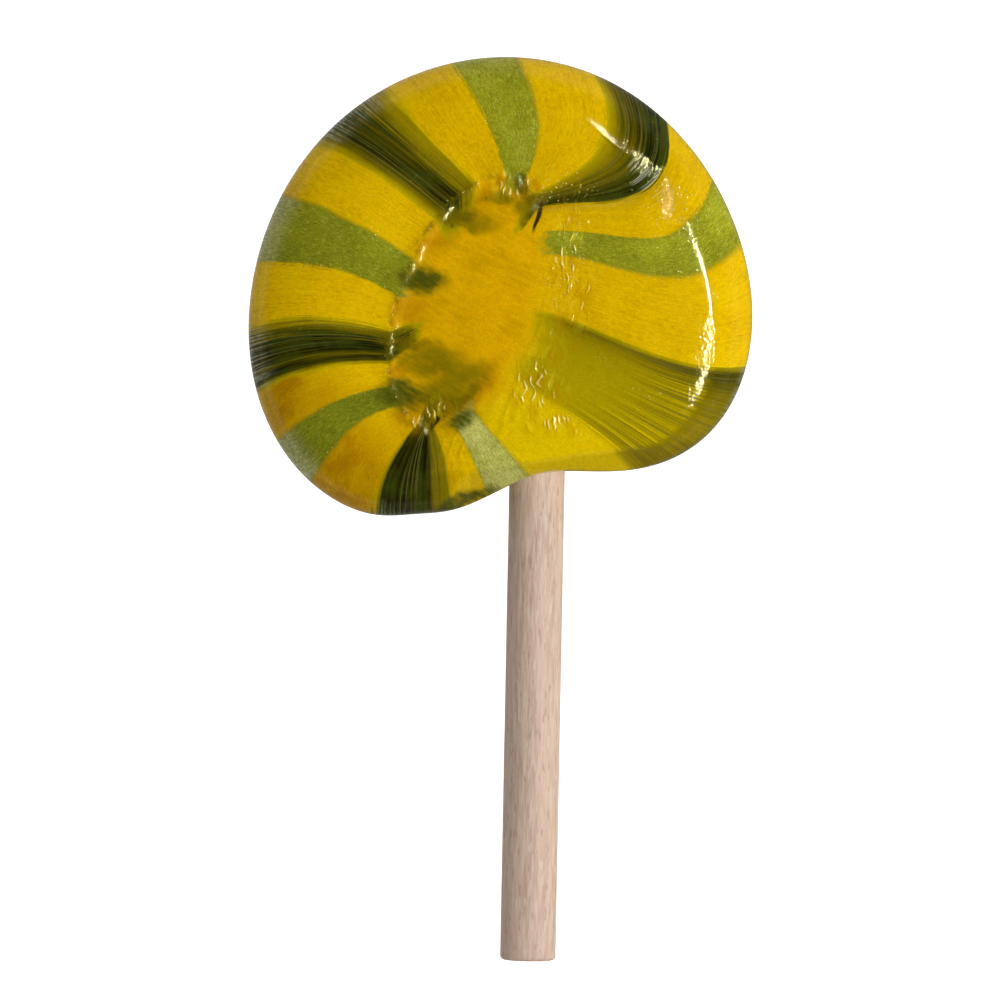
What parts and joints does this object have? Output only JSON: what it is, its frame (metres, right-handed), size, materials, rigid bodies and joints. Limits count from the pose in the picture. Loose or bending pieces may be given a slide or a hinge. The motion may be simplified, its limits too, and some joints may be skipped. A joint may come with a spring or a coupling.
{
  "type": "swirl lollipop",
  "caption": "Handmade pillow lollipop of pulled satin sugar with marbled stripes round a pinched cut, on a round wooden stick, lying face up.",
  "frame": {"origin": "on the floor under the stick's line, level with the middle of the candy head; the candy's flat back rests on Z = 0", "axes": "+Y along the stick towards the top of the candy head, +Z out of the shown face, +X to the right of the shown face"},
  "size_m": [0.0408, 0.0732, 0.0107],
  "materials": {
    "satin_sugar": "glossy pulled sugar, yellow with light and dark green stripes, slightly translucent",
    "birch_wood": "bare sanded pale birch with fine short grain"
  },
  "bodies": {
    "root": {"candy": "satin_sugar", "stick": "birch_wood"}
  },
  "joints": []
}
